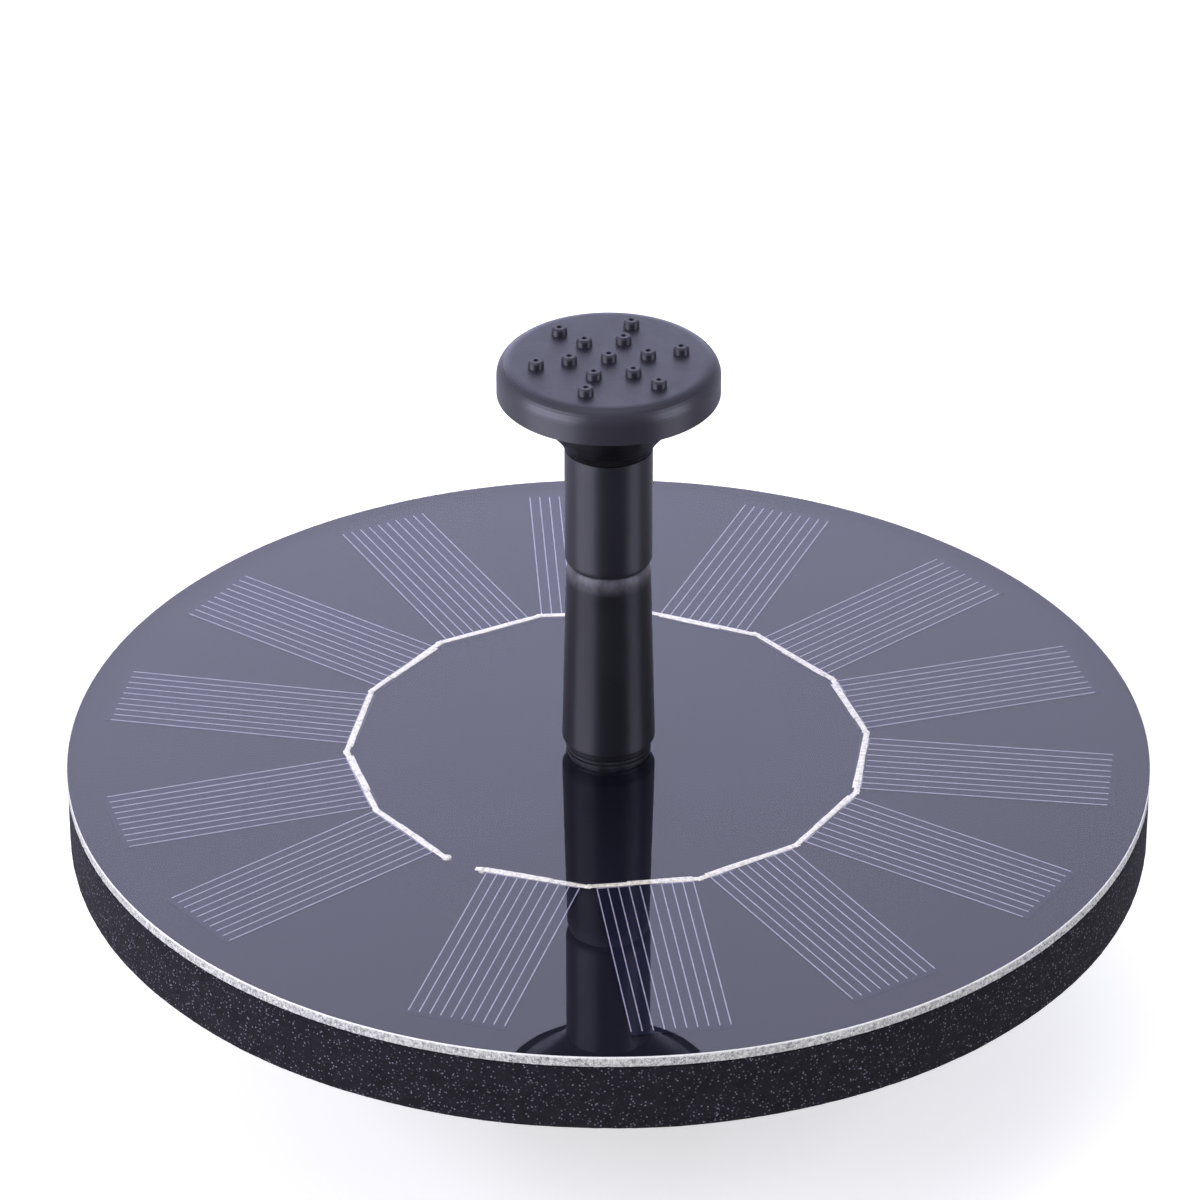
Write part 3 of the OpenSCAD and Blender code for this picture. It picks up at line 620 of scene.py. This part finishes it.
def cell_frames():
    """Each solar cell's inner end and outward direction, in order from the ribbon's
    first open end. They are read from the separate solids of the CAD cells."""
    bm = bmesh.new()
    bm.from_mesh(NODES["solar_cells"].data)
    bmesh.ops.remove_doubles(bm, verts=bm.verts, dist=0.01 * MM)
    seen = set()
    frames = []
    for start in bm.verts:
        if start in seen:
            continue
        seen.add(start)
        island, queue = [], [start]
        while queue:
            vert = queue.pop()
            island.append(vert.co.xy)
            for edge in vert.link_edges:
                other = edge.other_vert(vert)
                if other not in seen:
                    seen.add(other)
                    queue.append(other)
        island.sort(key=lambda p: p.length)
        half = len(island) // 2
        near = sum(island[:half], Vector((0, 0))) / half
        far = sum(island[half:], Vector((0, 0))) / (len(island) - half)
        frames.append((near, (far - near).normalized()))
    bm.free()
    frames.sort(key=lambda f: math.atan2(f[1].y, f[1].x))
    first = min(range(len(frames)), key=lambda i: abs(
        math.atan2(frames[i][1].y, frames[i][1].x) - FIRST_CELL))
    return frames[first:] + frames[:first]


def crossing(p, along_p, q, along_q):
    """Where two lines in the plane meet."""
    det = along_p.x * -along_q.y + along_q.x * along_p.y
    gap = q - p
    share = (gap.x * -along_q.y + along_q.x * gap.y) / det
    return p + along_p * share


def strip(bm, start, end, width, base, thick, seed, steps=26):
    """A flat ribbon from start to end with soft edges, creases and a slight twist."""
    along = (end - start).normalized()
    side = Vector((-along.y, along.x, 0))
    half = width / 2
    section = [(-half, 0), (-half, 0.7 * thick), (-0.86 * half, thick), (-0.3 * half, thick),
               (0.3 * half, thick), (0.86 * half, thick), (half, 0.7 * thick), (half, 0)]
    rings = []
    for k in range(steps + 1):
        share = k / steps
        centre = start.lerp(end, share)
        sway = mnoise.noise(Vector((share * 3, seed, 0))) * 0.10 * MM
        pinch = 1 + 0.07 * mnoise.noise(Vector((share * 6, seed, 4)))
        ring = []
        for across, up in section:
            dent = mnoise.noise(Vector((share * 14, across * 2500, seed))) * 0.22 * thick
            lift = max(up + (dent if up > 0 else 0), 0)
            place = centre + side * (across * pinch + sway)
            ring.append(bm.verts.new((place.x, place.y, base + lift)))
        rings.append(ring)
    count = len(section)
    for here, there in zip(rings, rings[1:]):
        for k in range(count):
            m = (k + 1) % count
            bm.faces.new((here[k], here[m], there[m], there[k]))
    bm.faces.new(rings[0][::-1])
    bm.faces.new(rings[-1])


def solder_dab(bm, centre, radius, height, seed):
    """A low irregular blob of solder."""
    rows, columns = 5, 16
    top = bm.verts.new((centre.x, centre.y, centre.z + height))
    last = None
    for row in range(1, rows + 1):
        lean = row / rows * math.pi / 2
        ring = []
        for c in range(columns):
            a = 2 * math.pi * c / columns
            r = radius * math.sin(lean) * (1 + 0.28 * mnoise.noise(
                Vector((math.cos(a) * 1.3, math.sin(a) * 1.3, seed))))
            ring.append(bm.verts.new((centre.x + r * math.cos(a), centre.y + r * math.sin(a),
                                      centre.z + height * math.cos(lean))))
        for c in range(columns):
            m = (c + 1) % columns
            if last is None:
                bm.faces.new((top, ring[c], ring[m]))
            else:
                bm.faces.new((last[c], ring[c], ring[m], last[m]))
        last = ring
    bm.faces.new(last[::-1])


def ribbon_ring():
    """Ribbon laid from cell to cell: a run along each cell and a second, shorter lap on
    top of it, with dabs of solder where they meet."""
    frames = cell_frames()
    lines = [(near + out * RIBBON_SEAT, Vector((-out.y, out.x))) for near, out in frames]
    corners = [lines[0][0] - lines[0][1] * OPEN_ENDS[0]]
    corners += [crossing(*a, *b) for a, b in zip(lines, lines[1:])]
    corners += [lines[-1][0] + lines[-1][1] * OPEN_ENDS[1]]
    bm = bmesh.new()
    thick = 0.085 * MM
    run_w, lap_w = 0.84 * MM, 0.86 * MM
    run_z, lap_z = RIBBON_LOW + 0.01 * MM, RIBBON_LOW + 0.06 * MM
    for i, frame_here in enumerate(frames):
        a, b = corners[i].to_3d(), corners[i + 1].to_3d()
        inward = -frame_here[1].to_3d()
        jitter = mnoise.noise(Vector((i * 3.7, 0.3, 0.9)))
        other = mnoise.noise(Vector((i * 2.1, 7.7, 0.2)))
        strip(bm, a.lerp(b, -0.03), b.lerp(a, -0.03), run_w + 0.08 * MM * other,
              run_z, thick, i * 1.7)
        first, second = 0.06 + 0.12 * abs(jitter), 0.62 + 0.25 * abs(other)
        if i % 2:
            first, second = 1 - second, 1 - first
        shift = inward * (0.16 + 0.2 * jitter) * MM
        skew = inward * 0.3 * MM * other
        strip(bm, a.lerp(b, first) + shift + skew, a.lerp(b, second) + shift - skew,
              lap_w + 0.2 * MM * jitter, lap_z, thick, 40 + i * 2.3)
        dab = a.lerp(b, 0.02)
        dab.z = RIBBON_LOW + 0.07 * MM
        solder_dab(bm, dab, (0.5 + 0.18 * jitter) * MM, 0.13 * MM, i * 5.1)
        mid = a.lerp(b, first + 0.03) + shift
        mid.z = RIBBON_LOW + 0.10 * MM
        solder_dab(bm, mid, (0.38 + 0.14 * other) * MM, 0.1 * MM, 70 + i * 3.3)
    tip = corners[-1].to_3d()
    tip.z = lap_z
    solder_dab(bm, tip, 0.6 * MM, 0.14 * MM, 99)
    bmesh.ops.recalc_face_normals(bm, faces=bm.faces)
    mesh = bpy.data.meshes.new("tinned_ribbon_links")
    bm.to_mesh(mesh)
    bm.free()
    piece = new_piece("tinned_ribbon_links", mesh, ribbon_material())
    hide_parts("busbar_ribbon")


def filter_sponge():
    """The intake sponge: a block with ragged open pores, squeezed into the strainer."""
    lo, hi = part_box("sponge_filter")
    pad = 0.35 * MM
    size = hi - lo
    step = 0.8 * MM
    bm = bmesh.new()
    bmesh.ops.create_cube(bm, size=1)
    for v in bm.verts:
        v.co = Vector((lo[a] + pad + (v.co[a] + 0.5) * (size[a] - 2 * pad) for a in range(3)))
    cuts = int(max(size) / step)
    bmesh.ops.subdivide_edges(bm, edges=bm.edges[:], cuts=cuts, use_grid_fill=True)
    bm.normal_update()
    moves = []
    for v in bm.verts:
        p = v.co * 900
        pore = mnoise.noise(p) + 0.5 * mnoise.noise(p * 2.3)
        moves.append(v.normal * min(pore * 0.45 * MM, 0.9 * pad))
    for v, move in zip(bm.verts, moves):
        v.co += move
    mesh = bpy.data.meshes.new("filter_sponge_block")
    bm.to_mesh(mesh)
    bm.free()
    piece = new_piece("filter_sponge_block", mesh, sponge_material(), "strainer",
                      smooth=False)
    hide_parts("sponge_filter")


# ---- Studio ----

def camera():
    """The photograph's view: a long lens from 31 degrees above the panel."""
    distance = 0.9
    pitch = math.radians(30.73)
    aside, above_panel = -1.25 * MM, 25.3 * MM
    target = Vector((aside, 0, PANEL_TOP + above_panel))
    data = bpy.data.cameras.new("camera")
    data.sensor_width = 36
    data.lens = 184.9
    data.clip_start = 0.05
    data.clip_end = 50
    cam = bpy.data.objects.new("camera", data)
    bpy.context.scene.collection.objects.link(cam)
    cam.location = target + distance * Vector((0, -math.cos(pitch), math.sin(pitch)))
    cam.rotation_euler = (math.pi / 2 - pitch, 0, 0)
    bpy.context.scene.camera = cam


def softbox(name, place, aim, size, radiance, colour):
    """A rectangular light that the camera doesn't see. radiance is how bright its face
    looks."""
    data = bpy.data.lights.new(name, "AREA")
    data.shape = "RECTANGLE"
    data.size, data.size_y = size
    data.energy = 4 * radiance * size[0] * size[1]
    data.color = colour
    light = bpy.data.objects.new(name, data)
    light.location = place
    aim_at = Vector(aim) - Vector(place)
    light.rotation_euler = aim_at.to_track_quat("-Z", "Y").to_euler()
    light.visible_camera = False
    bpy.context.scene.collection.objects.link(light)
    return data


def fade_box(data, upwards, across):
    """Dims a soft box towards its top and one side, and keeps its middle as it was."""
    data.use_nodes = True
    tree = data.node_tree
    glow = tree.nodes["Emission"]
    place = tree.nodes.new("ShaderNodeNewGeometry")
    split = tree.nodes.new("ShaderNodeSeparateXYZ")
    tree.links.new(place.outputs["Parametric"], split.inputs[0])
    shares = []
    for axis, amount in (("X", across), ("Y", upwards)):
        share = tree.nodes.new("ShaderNodeMapRange")
        share.inputs["To Min"].default_value = 1 + amount
        share.inputs["To Max"].default_value = 1 - amount
        tree.links.new(split.outputs[axis], share.inputs["Value"])
        shares.append(share.outputs["Result"])
    both = tree.nodes.new("ShaderNodeMath")
    both.operation = "MULTIPLY"
    tree.links.new(shares[0], both.inputs[0])
    tree.links.new(shares[1], both.inputs[1])
    tree.links.new(both.outputs["Value"], glow.inputs["Strength"])


def studio():
    """White surroundings, darker in reflections towards the camera and the right, and
    soft boxes with the photograph's lavender cast."""
    cast = (0.80, 0.79, 1.0)
    back_cast = (0.665, 0.675, 1.0)
    world = bpy.data.worlds.new("studio")
    world.use_nodes = True
    tree = world.node_tree
    tree.nodes.clear()
    seen = tree.nodes.new("ShaderNodeBackground")
    seen.inputs["Color"].default_value = (1, 1, 1, 1)
    seen.inputs["Strength"].default_value = 1.0
    fill = tree.nodes.new("ShaderNodeBackground")
    fill.inputs["Color"].default_value = (*cast, 1)
    towards = tree.nodes.new("ShaderNodeTexCoord")
    depth = tree.nodes.new("ShaderNodeVectorMath")
    depth.operation = "DOT_PRODUCT"
    bright_side = (-0.5, 0.86, 0)
    depth.inputs[1].default_value = bright_side
    strength = tree.nodes.new("ShaderNodeMapRange")
    strength.inputs["From Min"].default_value = -0.8
    strength.inputs["From Max"].default_value = 0.7
    strength.inputs["To Min"].default_value = 0.10
    strength.inputs["To Max"].default_value = 0.85
    tree.links.new(towards.outputs["Generated"], depth.inputs[0])
    tree.links.new(depth.outputs["Value"], strength.inputs["Value"])
    tree.links.new(strength.outputs["Result"], fill.inputs["Strength"])
    path = tree.nodes.new("ShaderNodeLightPath")
    mix = tree.nodes.new("ShaderNodeMixShader")
    out = tree.nodes.new("ShaderNodeOutputWorld")
    tree.links.new(path.outputs["Is Camera Ray"], mix.inputs[0])
    tree.links.new(fill.outputs["Background"], mix.inputs[1])
    tree.links.new(seen.outputs["Background"], mix.inputs[2])
    tree.links.new(mix.outputs["Shader"], out.inputs["Surface"])
    bpy.context.scene.world = world
    middle = (0, 0, PANEL_TOP)
    # name, place, width and height, radiance and colour of each soft box
    boxes = [("back_box", (0, 1.3, 0.80), (1.7, 1.7), 1.09, back_cast),
             ("left_box", (-0.91, -0.52, 0.45), (1.1, 0.9), 4.4, cast),
             ("right_box", (0.92, -0.39, 0.45), (0.6, 0.9), 3.1, cast),
             ("top_box", (0, 0, 1.4), (1.0, 1.0), 1.0, cast)]
    lights = [softbox(name, place, middle, size, radiance, colour)
              for name, place, size, radiance, colour in boxes]
    fade_box(lights[0], upwards=1.0, across=-0.5)
    bpy.context.scene.view_settings.view_transform = "Standard"


def floor():
    size = 6.0
    mesh = bpy.data.meshes.new("studio_floor")
    half = size / 2
    drop = 0.2 * MM
    mesh.from_pydata([(-half, -half, -drop), (half, -half, -drop), (half, half, -drop),
                      (-half, half, -drop)], [], [(0, 1, 2, 3)])
    g = Graph("pale_floor")
    tone = g.blend_colour(g.noise(0.4, 2), (0.90, 0.90, 0.78), (0.93, 0.93, 0.80))
    glow = 0.45
    mesh.materials.append(g.done(g.principled(tone, 0.6, Specular_IOR_Level=0.2,
                                              Emission_Color=(1, 1, 1, 1),
                                              Emission_Strength=glow)))
    ground = bpy.data.objects.new("studio_floor", mesh)
    ground.visible_glossy = False
    bpy.context.scene.collection.objects.link(ground)


camera()
studio()
floor()
paint_all()
foam_float()
panel_edge()
cover_sheet()
ribbon_ring()
filter_sponge()
